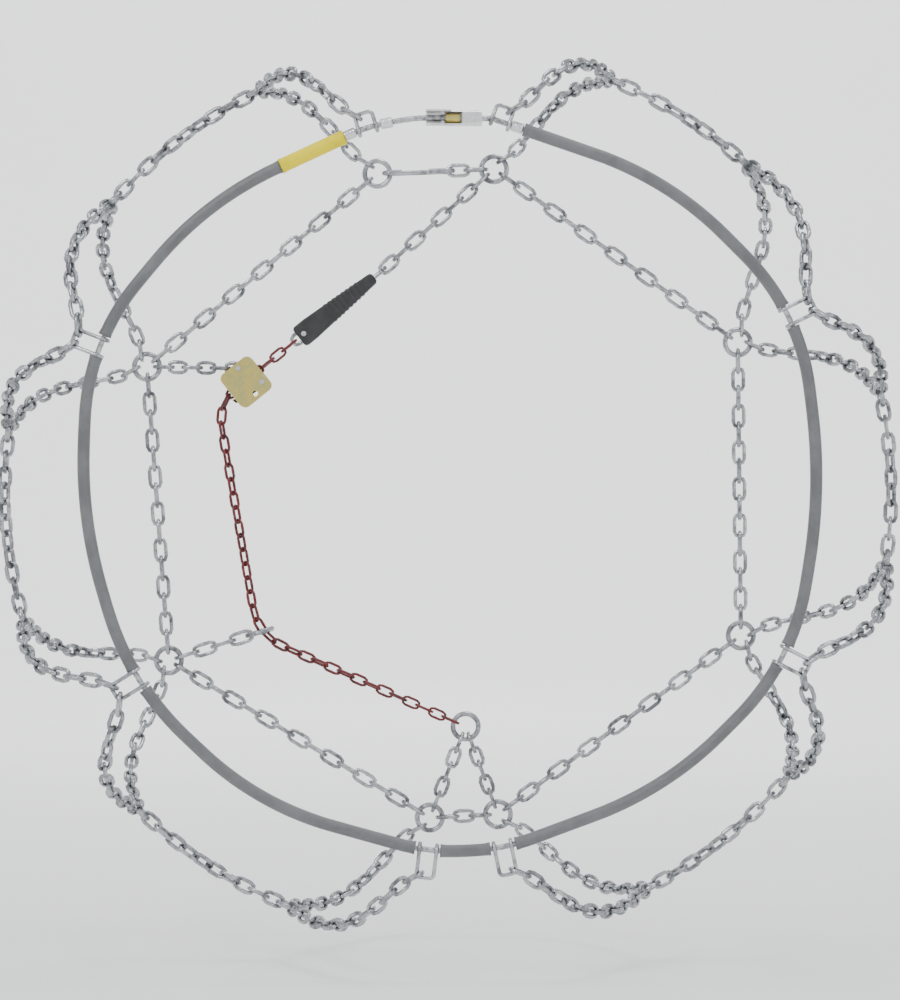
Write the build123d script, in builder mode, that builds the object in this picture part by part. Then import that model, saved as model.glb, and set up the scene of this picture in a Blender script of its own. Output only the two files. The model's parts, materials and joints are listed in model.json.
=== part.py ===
from build123d import *
from math import acos, asin, atan2, ceil, cos, degrees, hypot, pi, radians, sin, tan
import os

# Snow chain for one car tyre, laid on its wheel. Axle along Y, +Z up, origin at the wheel centre.
# The closing cable side is at -Y, the tensioned side chain at +Y. Millimetres.

# ---- sizes ----
tread_radius = 332.0        # centre line of the tread links
side_depth = 70.0           # from there in to where the net is widest
side_radius = tread_radius - side_depth
half_width = 119.0          # centre line of the net at its widest
squareness = 3.0            # 2 is an ellipse, more is squarer shoulders
link_wire = 3.2
link_inside = 5.0           # clear width of a link
link_width = link_inside + 2 * link_wire
pitch_max = 13.1
side_pitch_max = 15.5       # side and dropper links are longer
link_gap = 0.4              # play between neighbouring links
ring_gap = 0.6              # play between a link and a ring or pin it hangs on
crown_gap = 1.2             # and a shackle crown
ring_wire = 4.0
ring_inside, side_ring_inside = 12.0, 16.0      # clear width: tread rings, side and tension rings
ring_radius = (ring_inside + ring_wire) / 2
side_ring_radius = (side_ring_inside + ring_wire) / 2
cable_radius = side_radius - 1.0
cable_y = 2.0 - half_width
cable_wire = 4.2
cable_shift_x, cable_shift_z = 2.0, 6.0    # the loop hangs a little off centre
shackle_wire = 2.9
shackle_long, shackle_short = 26.5, 17.0
shackle_legs_long, shackle_legs_short = 12.2, 12.8    # between leg centres
crown_round = 3.0           # corner radius of a shackle crown, centre line
eye_gap = 0.35              # shackle eye round the cable
sleeve_wall = 2.0
sleeve_ease = 0.4           # long sleeves sit loosely on the cable
sleeve_wide = cable_wire + 2 * (sleeve_wall + sleeve_ease)
# Bare cable each side of a shackle centre.
bare_half = (max(shackle_legs_long, shackle_legs_short) + shackle_wire) / 2 + 0.45
ferrule_wall = 1.7
ferrule_wide = cable_wire + 2 * ferrule_wall
ferrule_long = 8.6
sleeve_gap = 0.3            # between neighbours along the cable
yellow_long, yellow_wide = 50.0, sleeve_wide + 1.2
fit_gap = 0.1               # sleeves and ferrules on the cable
stop_wide, stop_long = cable_wire + 3.0, 11.0
stop_play = 0.8             # between the stop and the wall it bears on
stop_room = 0.6             # beside the stop in the channel
barrel_wall = 1.3
barrel_tall = stop_wide + 2 * (barrel_wall + stop_room)
barrel_long, barrel_deep = 40.0, barrel_tall - 0.6
barrel_round = 2.4
barrel_closed = 14.0        # length of the bored end
barrel_wall_at = 11.0       # the slotted wall, from the open end
barrel_web = 2.0
barrel_tab = 18.0           # raised lip from the open end
barrel_lead = 7.0           # the cable stays straight this far past the barrel
corner_radius = side_radius - 6.0       # side chain corners
corner_y = half_width + 2.0
red_wire = 2.3
red_inside = 4.2
red_width = red_inside + 2 * red_wire
red_pitch_max = 11.5
# Tension line: clock angle and distance inside the corners of its turns and of the handle.
anchor_at, guide_at, handle_at = (175.7, 71.4), (-127.0, 69.0), (-44.04, 87.7)
handle_lean = 51.16         # clock angle the handle points to
guide_bend, lock_bend = 40.0, 30.0     # bends of the tension line
handle_long, handle_wide, handle_tip = 76.0, 18.0, 9.0
handle_slot = link_wire + 1.0
handle_thick = handle_slot + 4.8
handle_straight = 12.0      # before the taper
handle_round = 3.0
handle_edge = 1.6
handle_pin_at = 5.0         # from the wide end
lock_to_handle = 82.0       # lock corner of the tension line to the handle
lock_ahead = 26.0           # lock centre from that corner
lock_plate = 1.6
lock_round = 5.0
lock_left, lock_right = 13.0, 17.0     # cheek reach along the chain
lock_in, lock_out = 17.0, 15.0         # cheek reach across it
lock_space = red_width + 1.6           # between the cheeks
lock_hole = 4.4
lock_pin_wide = 4.0
pawl_thick, pawl_wide = 3.0, 4.0
link_pin_wide = 4.0
silver_pitch = 12.0         # the link between red chain and handle
handle_hook_wire = 3.5
handle_hook_bend = 4.5
hook_bore = 16.0            # of the handle hook in the handle
hook_neck = 6.0
finger_long = 6.0
pin_head = 0.8              # how far pins stand out
hook_wire = 4.0             # closing hook
hook_bend = 5.0
hook_long = 44.0            # between the centres of its two bends
hook_mouth, hook_tail = 9.0, 14.0      # its short legs
move_gap = 0.3              # between parts that turn on each other
spread = 0.67               # how quickly a strand leaves its shackle sideways

# Shackles and side chain corners, degrees clockwise from the top seen from -Y, and how far the
# cable is pulled out there.
corners = {1: (-12.5, 0.0), 3: (-67.4, 8.0), 4: (-121.1, 2.0), 5: (-176.8, 1.0),
           6: (171.2, 1.0), 7: (116.1, 6.0), 8: (62.7, 8.0), 2: (8.1, 0.0)}
short_shackles = (1, 2)
# Tread rings, and the corner whose strands end on each.
tread_rings = {"a1": (-25.5, 1), "a3": (-49.0, 3), "b3": (-82.0, 3), "a4": (-106.6, 4),
               "b4": (-136.0, 4), "a5": (-158.8, 5), "a2": (22.0, 2), "a8": (42.0, 8),
               "b8": (77.3, 8), "a7": (99.0, 7), "b7": (130.0, 7), "a6": (153.0, 6)}
segments = {"1_3": ("a1", "a3"), "3_4": ("b3", "a4"), "4_5": ("b4", "a5"),
            "2_8": ("a2", "a8"), "8_7": ("b8", "a7"), "7_6": ("b7", "a6")}

os.makedirs("parts", exist_ok=True)


def save(part, name):
    part.label = name
    export_step(part, f"parts/{name}.step")


def around(angle, radius, y=0.0):
    """Point at a clock angle and radius from the axle."""
    return Vector(radius * sin(radians(angle)), y, radius * cos(radians(angle)))


def outward(angle):
    return around(angle, 1.0)


# ---- one link and one ring ----
def oval_link(pitch, wire, width):
    """Closed link in the XY plane, long axis along X, its wire swept round the loop."""
    bend = (width - wire) / 2
    straight = (pitch + link_gap + wire) / 2 - bend
    with BuildPart() as made:
        with BuildLine() as loop:
            Line((-straight, bend), (straight, bend))
            ThreePointArc((straight, bend), (straight + bend, 0), (straight, -bend))
            Line((straight, -bend), (-straight, -bend))
            ThreePointArc((-straight, -bend), (-straight - bend, 0), (-straight, bend))
        with BuildSketch(Plane(origin=(0, bend, 0), z_dir=(1, 0, 0), x_dir=(0, 1, 0))):
            Circle(wire / 2)
        sweep(path=loop.wires()[0])
    return made.part


def place(thing, centre, x_dir, z_dir):
    return Plane(origin=centre, x_dir=x_dir, z_dir=z_dir).location * thing


with BuildPart() as ring_made:
    with BuildSketch(Plane.XZ):
        with Locations((ring_radius, 0)):
            Circle(ring_wire / 2)
    revolve(axis=Axis.Z)
ring = ring_made.part

with BuildPart() as side_ring_made:
    with BuildSketch(Plane.XZ):
        with Locations((side_ring_radius, 0)):
            Circle(ring_wire / 2)
    revolve(axis=Axis.Z)
side_ring = side_ring_made.part


# ---- the surface the net lies on ----
def section_table(end_radius, steps=400):
    """(radius, half width) from crown to side at even steps of the superellipse parameter."""
    drop = (end_radius - side_radius) / (tread_radius - side_radius)
    last = acos(drop ** (squareness / 2))
    rows = []
    for i in range(steps + 1):
        a = last * i / steps
        rows.append((side_radius + (tread_radius - side_radius) * cos(a) ** (2 / squareness),
                     half_width * sin(a) ** (2 / squareness)))
    lengths = [0.0]
    for p, q in zip(rows, rows[1:]):
        lengths.append(lengths[-1] + hypot(q[0] - p[0], q[1] - p[1]))
    return rows, lengths


def strand_path(side, crown_angle, side_angle, end_radius):
    """Point and surface normal at a share of the way from the side end to the crown."""
    rows, lengths = section_table(end_radius)

    def at(share):
        share = min(max(share, 0.0), 1.0)
        want = (1 - share) * lengths[-1]
        i = max(1, next(k for k, v in enumerate(lengths) if v >= want - 1e-9))
        part = (want - lengths[i - 1]) / (lengths[i] - lengths[i - 1])
        r = rows[i - 1][0] + part * (rows[i][0] - rows[i - 1][0])
        y = rows[i - 1][1] + part * (rows[i][1] - rows[i - 1][1])
        dr, dy = rows[i][0] - rows[i - 1][0], rows[i][1] - rows[i - 1][1]
        angle = side_angle + (crown_angle - side_angle) * share ** spread
        out = outward(angle) * dy + Vector(0, side, 0) * -dr
        return around(angle, r, side * y), out.normalized()
    return at


def arc_path(from_angle, to_angle, radius, y):
    def at(share):
        angle = from_angle + (to_angle - from_angle) * min(max(share, 0.0), 1.0)
        return around(angle, radius, y), outward(angle)
    return at


def line_path(start, end, normal):
    def at(share):
        return start + (end - start) * min(max(share, 0.0), 1.0), normal
    return at


def walk(at, count, first, last):
    """Joints of a chain of `count` links laid tight along a path, with its pitch and normals."""
    end = at(1.0)[0]

    def lay(pitch):
        shares, points, share = [0.0], [at(0.0)[0]], 0.0
        for i in range(count - 1):
            step = pitch + (first if i == 0 else 0.0)
            low, high = share, 1.0
            if (at(1.0)[0] - points[-1]).length < step:
                return None
            for _ in range(30):
                share = (low + high) / 2
                if (at(share)[0] - points[-1]).length < step:
                    low = share
                else:
                    high = share
            shares.append(share)
            points.append(at(share)[0])
        return shares, points

    low, high = 5.0, 30.0
    for _ in range(40):
        pitch = (low + high) / 2
        laid = lay(pitch)
        if laid is None or (end - laid[1][-1]).length < pitch + last:
            high = pitch
        else:
            low = pitch
    shares, points = lay(low)
    return points + [end], shares + [1.0], low


def path_length(at, steps=60):
    points = [at(i / steps)[0] for i in range(steps + 1)]
    return sum((q - p).length for p, q in zip(points, points[1:]))


def chain(at, pitch_limit, wire, width, first, last, twist=0.0, roll_from=90.0, roll_to=90.0,
          parity=False):
    """Links along a path, each turned 90 degrees from the last, plus a slow twist.

    A roll of 90 stands a link on edge to the path's normal. With parity the count is made to suit
    the two end rolls, so the twist can come and go; without it the links twist steadily."""
    count = max(1, ceil((path_length(at) - first - last) / pitch_limit))
    short = (roll_to - roll_from - 90.0 * (count - 1)) % 180
    if parity and short:
        count, short = count + 1, 0.0
    joints, shares, pitch = walk(at, count, first, last)
    link = oval_link(pitch, wire, width)
    made = []
    for i in range(count):
        line = (joints[i + 1] - joints[i]).normalized()
        if i == 0:
            centre = joints[1] - line * (pitch / 2) if count > 1 else (
                joints[0] + line * (first + pitch / 2))
        elif i == count - 1:
            centre = joints[i] + line * (pitch / 2)
        else:
            centre = (joints[i] + joints[i + 1]) / 2
        normal = at((shares[i] + shares[i + 1]) / 2)[1]
        normal = (normal - line * normal.dot(line)).normalized()
        share = i / (count - 1) if count > 1 else 0.0
        extra = short * share if short else twist * sin(pi * share) ** 2
        roll = radians(roll_from + 90.0 * i + extra)
        z_dir = normal * cos(roll) + line.cross(normal) * sin(roll)
        made.append(place(link, centre, line, z_dir))
    return made


def hang(bend, wire, gap=ring_gap):
    """How much longer than a pitch the first step is, from the centre of the bend it hangs in."""
    return bend - wire / 2 - gap + link_gap / 2


ring_reach = hang(ring_radius, ring_wire)
wire_reach = hang(0.0, ring_wire)
side_reach = hang(side_ring_radius, ring_wire)
crown_reach = hang(crown_round, shackle_wire, crown_gap)


def on_bend(hub, toward, normal, radius):
    """Where a chain leaving for a point crosses the wire of a ring or crown bend."""
    way = toward - hub
    return hub + (way - normal * way.dot(normal)).normalized() * radius


def behind_bend(hub, toward, normal, radius):
    """Start beside the bend's centre, so that a chain rising out of its plane meets the wire."""
    way = toward - hub
    rise = way.dot(normal)
    return hub - normal * (rise / (way - normal * rise).length * radius)


# ---- the cable loop: straight runs joined by tangent arcs, in the plane y = cable_y ----
loop_centre = Vector(cable_shift_x, cable_y, cable_shift_z)


def loop_stations():
    """(angle about the loop centre, radius) the cable passes, clockwise from the barrel."""
    found = []
    for key, (angle, pull) in corners.items():
        p = around(angle, cable_radius) - Vector(cable_shift_x, 0, cable_shift_z)
        found.append((degrees(atan2(p.X, p.Z)) % 360, cable_radius + pull, key))
    found.sort(key=lambda row: row[0])
    rows = []
    for this, nxt in zip(found, found[1:]):
        rows.append(this)
        if nxt[0] - this[0] > 30:
            rows.append(((this[0] + nxt[0]) / 2, cable_radius, None))
    return rows + [found[-1]]


stations = loop_stations()
barrel_angle = 0.5
loop_top = loop_centre + outward(barrel_angle) * cable_radius
loop_along = Vector(cos(radians(barrel_angle)), 0, -sin(radians(barrel_angle)))
bend_share = 0.44


def loop_vertices(radii):
    corners_at = [loop_centre + outward(a) * r for (a, _, _), r in zip(stations, radii)]
    right = [loop_top + loop_along * (barrel_long / 2 + d) for d in (-8.0, barrel_lead)]
    left = [loop_top - loop_along * (barrel_long / 2 + d) for d in (barrel_lead, -8.0)]
    return right + corners_at + left


def loop_bends(points):
    """Bend radius and half turn at each inner vertex."""
    bends = []
    for a, b, c in zip(points, points[1:], points[2:]):
        u, v = (b - a).normalized(), (c - b).normalized()
        half = acos(min(1.0, u.dot(v))) / 2
        bends.append((bend_share * min((b - a).length, (c - b).length) / tan(half), half))
    return bends


radii = [row[1] for row in stations]
for _ in range(12):
    bends = loop_bends(loop_vertices(radii))
    radii = [row[1] + rho * (1 / cos(half) - 1) for row, (rho, half) in zip(stations, bends[1:])]
vertices = loop_vertices(radii)
bends = loop_bends(vertices)

# Runs and arcs as (length, kind, base, first direction, more).
pieces = []
at_point = vertices[0]
for (rho, half), a, b, c in zip(bends, vertices, vertices[1:], vertices[2:]):
    u, v = (b - a).normalized(), (c - b).normalized()
    reach = rho * tan(half)
    start, stop = b - u * reach, b + v * reach
    inward = (v - u).normalized()
    hub = b + inward * (rho / cos(half))
    pieces.append(((start - at_point).length, "run", at_point, u, None))
    pieces.append((2 * half * rho, "arc", hub, (start - hub).normalized(), (u, rho)))
    at_point = stop
pieces.append(((vertices[-1] - at_point).length, "run", at_point,
               (vertices[-1] - at_point).normalized(), None))
loop_length = sum(piece[0] for piece in pieces)


def loop_at(distance):
    """Point and direction at a distance along the cable."""
    for length, kind, base, first, more in pieces:
        if distance <= length or piece_is_last(base):
            if kind == "run":
                return base + first * distance, first
            u, rho = more
            turn = distance / rho
            return (base + (first * cos(turn) + u * sin(turn)) * rho,
                    u * cos(turn) - first * sin(turn))
        distance -= length
    raise ValueError("past the end of the cable")


def piece_is_last(base):
    return base is pieces[-1][2]


def loop_distance(angle):
    """Distance along the cable where it crosses a clock angle seen from the axle."""
    low, high = 0.0, loop_length
    want = angle % 360
    for _ in range(50):
        middle = (low + high) / 2
        p = loop_at(middle)[0]
        low, high = (middle, high) if degrees(atan2(p.X, p.Z)) % 360 < want else (low, middle)
    return low


def cable_stretch(start, stop, outer, inner=0.0):
    """Round rod or tube following the cable between two distances."""
    marks = [0.0]
    for piece in pieces:
        marks.append(marks[-1] + piece[0])
    with BuildPart() as made:
        with BuildLine() as route:
            for (length, kind, *_), low, high in zip(pieces, marks, marks[1:]):
                a, b = max(low, start), min(high, stop)
                if b - a > 1e-3:
                    p, q, m = (loop_at(d)[0] for d in (a, b, (a + b) / 2))
                    if kind == "run":
                        Line(p, q)
                    else:
                        ThreePointArc(p, m, q)
        origin, heading = loop_at(start)
        with BuildSketch(Plane(origin=origin, x_dir=(0, 1, 0), z_dir=heading)):
            Circle(outer / 2)
            if inner:
                Circle(inner / 2, mode=Mode.SUBTRACT)
        sweep(path=route.wires()[0])
    return made.part


crossing = {key: loop_distance(angle) for key, (angle, _) in corners.items()}
clockwise = sorted(crossing, key=crossing.get)

# ---- shackles: a U of wire, its two legs ending in eyes round the cable ----
eye_radius = (cable_wire + shackle_wire) / 2 + eye_gap
eye_wrap = 300.0            # degrees of wire in an eye


def shackle(total, legs):
    """Cable along X at the origin; legs run up +Z at y = -eye_radius to the crown."""
    crown = total - eye_radius - shackle_wire
    half = legs / 2
    r, y = crown_round, -eye_radius
    k = r * (1 - cos(pi / 4))
    end = radians(180 + eye_wrap)
    middle = radians(180 + eye_wrap / 2)

    def eye(x, angle):
        return (x, eye_radius * cos(angle), eye_radius * sin(angle))

    with BuildPart() as made:
        with BuildLine() as route:
            ThreePointArc(eye(-half, end), eye(-half, middle), eye(-half, pi))
            Line((-half, y, 0), (-half, y, crown - r))
            ThreePointArc((-half, y, crown - r), (-half + k, y, crown - k), (-half + r, y, crown))
            Line((-half + r, y, crown), (half - r, y, crown))
            ThreePointArc((half - r, y, crown), (half - k, y, crown - k), (half, y, crown - r))
            Line((half, y, crown - r), (half, y, 0))
            ThreePointArc(eye(half, pi), eye(half, middle), eye(half, end))
        begin = route.wires()[0]
        with BuildSketch(Plane(origin=begin @ 0, z_dir=begin % 0)):
            Circle(shackle_wire / 2)
        sweep(path=begin)
    return made.part, crown


shackles, strand_starts, crown_normals = {}, {}, {}
for key, (angle, _) in corners.items():
    short = key in short_shackles
    legs = shackle_legs_short if short else shackle_legs_long
    part, crown = shackle(shackle_short if short else shackle_long, legs)
    centre, heading = loop_at(crossing[key])
    up = heading.cross(Vector(0, 1, 0)) * -1
    up = up if up.dot(centre - Vector(0, cable_y, 0)) > 0 else up * -1
    # The legs lean so that the crown sits in the net's surface.
    crown_share = ((centre - Vector(0, cable_y, 0)).length + crown - side_radius) / (
        tread_radius - side_radius)
    crown_y = half_width * (1 - max(crown_share, 0.0) ** squareness) ** (1 / squareness)
    lean = asin(eye_radius / hypot(crown, eye_radius)) - asin(
        (crown_y + cable_y) / hypot(crown, eye_radius))
    leg_dir = up * cos(lean) + Vector(0, 1, 0) * sin(lean)
    plane = Plane(origin=centre, x_dir=heading, z_dir=leg_dir)
    plane = plane if plane.y_dir.Y > 0 else Plane(origin=centre, x_dir=heading * -1, z_dir=leg_dir)
    shackles[key] = plane.location * part
    save(shackles[key], f"shackle_{key}")
    crown_normals[key] = plane.y_dir
    for side in (-1, 1):
        corner = (plane.origin + plane.x_dir * side * (legs / 2 - crown_round)
                  + plane.y_dir * -eye_radius + plane.z_dir * (crown - crown_round))
        clock = 1 if (plane.x_dir * side).dot(heading) > 0 else -1
        strand_starts[key, clock] = corner

# ---- strands, cable side and tensioned side ----
strand_parts = {}
probe_share = 0.08          # how far along a strand its leaving direction is read
for name, (ring_angle, key) in tread_rings.items():
    corner_angle = corners[key][0]
    clock = 1 if ring_angle > corner_angle else -1
    hub = around(corner_angle, corner_radius, corner_y)
    for side, hung, normal, bend, first, begin_at, tag in (
            (-1, strand_starts[key, clock], crown_normals[key], crown_round, crown_reach,
             behind_bend, "cable"),
            (1, hub, Vector(0, 1, 0), side_ring_radius, wire_reach, on_bend, "side")):
        probe = strand_path(side, ring_angle, corner_angle,
                            max(hypot(hung.X, hung.Z), side_radius))(probe_share)[0]
        begin = begin_at(hung, probe, normal, bend)
        angle = degrees(atan2(begin.X, begin.Z))
        angle += 360 * round((ring_angle - angle) / 360)
        base = strand_path(side, ring_angle, angle, max(hypot(begin.X, begin.Z), side_radius))

        def at(share, base=base, begin=begin):
            point, normal = base(share)
            return point + (begin - base(0.0)[0]) * (1 - share) ** 8, normal
        made = chain(at, pitch_max, link_wire, link_width, first, ring_reach, twist=38.0,
                     parity=True)
        label = f"strand_{name[1]}{name[0]}_{tag}"
        strand_parts[label] = Compound(made)
        save(strand_parts[label], label)

for name, (a, b) in segments.items():
    at = arc_path(tread_rings[a][0], tread_rings[b][0], tread_radius, 0.0)
    made = chain(at, pitch_max, link_wire, link_width, ring_reach, ring_reach, twist=45.0)
    save(Compound(made), f"segment_{name}")

save(Compound([place(ring, around(a, tread_radius), (0, 1, 0), outward(a))
               for a, _ in tread_rings.values()]), "tread_rings")

# ---- cable, its sleeves and ferrules ----
barrel_right = barrel_long / 2
ferrule_centres = {"left_end": crossing[1] - bare_half - ferrule_long / 2 - 0.6,
                   "hinge": crossing[1] + bare_half + 1.6 + ferrule_long / 2,
                   "right": crossing[2] + bare_half + ferrule_long / 2}
# The free end bends where it leaves this ferrule: a round end turning in front of a flat one.
split = ferrule_centres["hinge"] + ferrule_long / 2 + 0.9
save(cable_stretch(0.0, split - cable_wire / 2 - move_gap, cable_wire), "inner_cable")
save(Compound([cable_stretch(d - ferrule_long / 2, d + ferrule_long / 2, ferrule_wide,
                             cable_wire + 2 * fit_gap) for d in ferrule_centres.values()]),
     "ferrules")
yellow_end = ferrule_centres["left_end"] - ferrule_long / 2 - sleeve_gap
sleeves = []
for this, nxt in zip(clockwise, clockwise[1:]):
    start, stop = crossing[this] + bare_half, crossing[nxt] - bare_half
    if this == 2:
        start = ferrule_centres["right"] + ferrule_long / 2 + sleeve_gap
    if nxt == 1:
        stop = yellow_end - yellow_long - sleeve_gap
    sleeves.append(cable_stretch(start, stop, sleeve_wide, sleeve_wide - 2 * sleeve_wall))
save(Compound(sleeves), "cable_sleeves")
save(cable_stretch(yellow_end - yellow_long, yellow_end, yellow_wide,
                   cable_wire + 2 * fit_gap), "yellow_sleeve")

# ---- coupling barrel: folded channel, open to -Y over its left part ----
barrel_plane = Plane(origin=loop_top, x_dir=loop_along, z_dir=(0, -1, 0))
bore = cable_wire + 2 * fit_gap
half_deep = barrel_deep / 2
with BuildPart() as barrel:
    with BuildSketch(Plane(origin=loop_top - loop_along * barrel_right, z_dir=loop_along,
                           x_dir=(0, -1, 0))):
        RectangleRounded(barrel_deep, barrel_tall, barrel_round)
    extrude(amount=barrel_long)
    # Channel and open mouth over the left part.
    left = barrel_long - barrel_closed
    cut_plane = Plane(origin=loop_top - loop_along * (barrel_right + 1), z_dir=loop_along,
                      x_dir=(0, -1, 0))
    with BuildSketch(cut_plane):
        with Locations((barrel_wall, 0)):
            Rectangle(barrel_deep, barrel_tall - 2 * barrel_wall)
    extrude(amount=left + 1, mode=Mode.SUBTRACT)
    # End wall with a slot the rope drops into and the stop bears on.
    with BuildSketch(Plane(origin=loop_top - loop_along * (barrel_right - barrel_wall_at),
                           z_dir=loop_along, x_dir=(0, -1, 0))):
        Rectangle(barrel_deep - 1, barrel_tall - 1)
        with Locations((barrel_deep / 4, 0)):
            Rectangle(barrel_deep / 2 + 1, cable_wire + 2 * move_gap, mode=Mode.SUBTRACT)
        Circle(cable_wire / 2 + move_gap, mode=Mode.SUBTRACT)
    extrude(amount=barrel_web)
    # Bore for the crimped rope end.
    with BuildSketch(Plane(origin=loop_top + loop_along * (barrel_right + 1),
                           z_dir=loop_along * -1, x_dir=(0, -1, 0))):
        Circle(bore / 2)
    extrude(amount=barrel_closed - 1, mode=Mode.SUBTRACT)
    # Raised tab on the upper left lip.
    with BuildSketch(Plane(origin=loop_top - loop_along * barrel_right
                           + Vector(0, -half_deep, barrel_tall / 2 - barrel_wall / 2),
                           z_dir=loop_along, x_dir=(0, -1, 0))):
        with Locations((0.9, 0)):
            Rectangle(3.0, barrel_wall)
    extrude(amount=barrel_tab)
save(barrel.part, "coupling_barrel")

stop_start = barrel_right - barrel_wall_at - barrel_web - stop_play    # face of the stop, left of loop_top
with BuildPart() as stop_piece:
    with BuildSketch(Plane(origin=loop_top - loop_along * stop_start, z_dir=loop_along)):
        Circle(stop_wide / 2)
        Circle(cable_wire / 2 + fit_gap, mode=Mode.SUBTRACT)
    extrude(amount=stop_long)
    chamfer(stop_piece.edges().filter_by(GeomType.CIRCLE).group_by(SortBy.RADIUS)[-1], 0.6)
save(stop_piece.part, "cable_stop")

# The free end of the rope: from inside the hinge ferrule to the stop.
tail_from, tail_heading = loop_at(loop_length)
with BuildPart() as tail:
    with BuildSketch(Plane(origin=tail_from, z_dir=tail_heading)):
        Circle(cable_wire / 2)
    extrude(amount=(loop_top - loop_along * (stop_start - stop_long + 1.0) - tail_from).length)
free_end = cable_stretch(split, loop_length, cable_wire) + tail.part
free_end += Pos(loop_at(split)[0]) * Sphere(cable_wire / 2)
save(free_end, "cable_end")

# ---- corner rings, side chain, droppers ----
hubs = {key: around(a, corner_radius, corner_y) for key, (a, _) in corners.items()}
lie = Vector(0, 1, 0)
save(Compound([place(side_ring, hub, (1, 0, 0), lie) for hub in hubs.values()]), "corner_rings")

order = [1, 3, 4, 5, 6, 7, 8, 2]
side_links = []
for a, b in zip(order, order[1:]):
    at = line_path(hubs[a], hubs[b], lie)
    side_links += chain(at, side_pitch_max, link_wire, link_width, side_reach, side_reach,
                        parity=True)
save(Compound(side_links), "side_chain")

# Closing hook: a bent rod, open hook on the first corner ring, closed eye at the other end.
top_dir = (hubs[2] - hubs[1]).normalized()
open_centre = side_ring_radius - ring_wire / 2 - hook_wire / 2 - ring_gap + hook_bend
eye_at = open_centre + hook_long


def top_point(along, out):
    return hubs[1] + top_dir * along + lie * out


with BuildPart() as closing_hook:
    with BuildLine() as hook_route:
        Line(top_point(open_centre + hook_mouth, -hook_bend), top_point(open_centre, -hook_bend))
        ThreePointArc(top_point(open_centre, -hook_bend), top_point(open_centre - hook_bend, 0),
                      top_point(open_centre, hook_bend))
        Line(top_point(open_centre, hook_bend), top_point(eye_at, hook_bend))
        ThreePointArc(top_point(eye_at, hook_bend), top_point(eye_at + hook_bend, 0),
                      top_point(eye_at, -hook_bend))
        Line(top_point(eye_at, -hook_bend), top_point(eye_at - hook_tail, -hook_bend))
    hook_start = hook_route.wires()[0]
    with BuildSketch(Plane(origin=hook_start @ 0, z_dir=hook_start % 0)):
        Circle(hook_wire / 2)
    sweep(path=hook_start)
save(closing_hook.part, "closing_hook")

# ---- red tension chain: bottom anchor, guide ring, lock, then the rubber handle ----
def tension_point(turn):
    angle, inside = turn
    return around(angle, corner_radius - inside, corner_y)


handle_foot, anchor, guide_corner = (tension_point(t) for t in (handle_at, anchor_at, guide_at))
pull = outward(handle_lean)
across = pull.cross(Vector(0, 1, 0)) * -1
across = across if across.dot(handle_foot - Vector(0, corner_y, 0)) > 0 else across * -1
lock_corner = handle_foot - pull * lock_to_handle
handle_pin = handle_foot + pull * handle_pin_at
silver_half = (silver_pitch + link_gap) / 2
silver_centre = handle_pin - pull * (silver_half - link_pin_wide / 2 - ring_gap)
silver_near = silver_centre - pull * (silver_half + link_wire / 2)


def bent_path(points, rounds, normal):
    """Straight runs with a tangent arc at each inner point."""
    legs, here = [], points[0]
    for a, b, c, rho in zip(points, points[1:], points[2:], rounds):
        u, v = (b - a).normalized(), (c - b).normalized()
        half = acos(u.dot(v)) / 2
        start, stop = b - u * rho * tan(half), b + v * rho * tan(half)
        hub = b + (v - u).normalized() * (rho / cos(half))
        legs.append(((start - here).length, here, u, None))
        legs.append((2 * half * rho, hub, (start - hub).normalized(), (u, rho)))
        here = stop
    legs.append(((points[-1] - here).length, here, (points[-1] - here).normalized(), None))
    total = sum(leg[0] for leg in legs)

    def at(share):
        distance = min(max(share, 0.0), 1.0) * total
        for length, base, first, bend in legs:
            if distance <= length or base is legs[-1][1]:
                break
            distance -= length
        if bend is None:
            return base + first * distance, normal
        u, rho = bend
        return base + (first * cos(distance / rho) + u * sin(distance / rho)) * rho, normal
    return at


red_route = bent_path([anchor, guide_corner, lock_corner, silver_near], [guide_bend, lock_bend],
                      lie)
save(Compound(chain(red_route, red_pitch_max, red_wire, red_width, side_reach,
                    hang(0.0, link_wire))), "tension_chain")
save(place(oval_link(silver_pitch, link_wire, link_width), silver_centre, pull, lie),
     "handle_link")

guide_out = (hubs[4] - guide_corner).normalized()
to_anchor, to_lock = (anchor - guide_corner).normalized(), (lock_corner - guide_corner).normalized()
guide_half = (pi - acos(to_anchor.dot(to_lock))) / 2
red_inside = guide_corner + (to_anchor + to_lock).normalized() * guide_bend * (
    1 / cos(guide_half) - 1)
guide_hub = red_inside + guide_out * (side_ring_radius - ring_wire / 2 - red_width / 2 - ring_gap)
save(Compound([place(side_ring, anchor, (1, 0, 0), lie),
               place(side_ring, guide_hub, lie, guide_out.cross(lie))]), "guide_rings")

# Lock: two cheeks and two posts, a spring pawl, and the pin its dropper hangs on.
lock_centre = lock_corner + pull * lock_ahead
lock_base = Plane(origin=lock_centre, x_dir=pull, z_dir=(0, -1, 0))
lock_base = lock_base if lock_base.y_dir.dot(across) > 0 else Plane(
    origin=lock_centre, x_dir=pull, z_dir=(0, 1, 0))
hang_pin = (4.0, 11.0)
pawl_pin = (12.0, -9.0)
lock_hole_at = (2.0, -12.8)
lock_posts = (-9.0, 10.5), (14.2, 8.0)


def lock_plane(height):
    return lock_base.offset(height)


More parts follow.
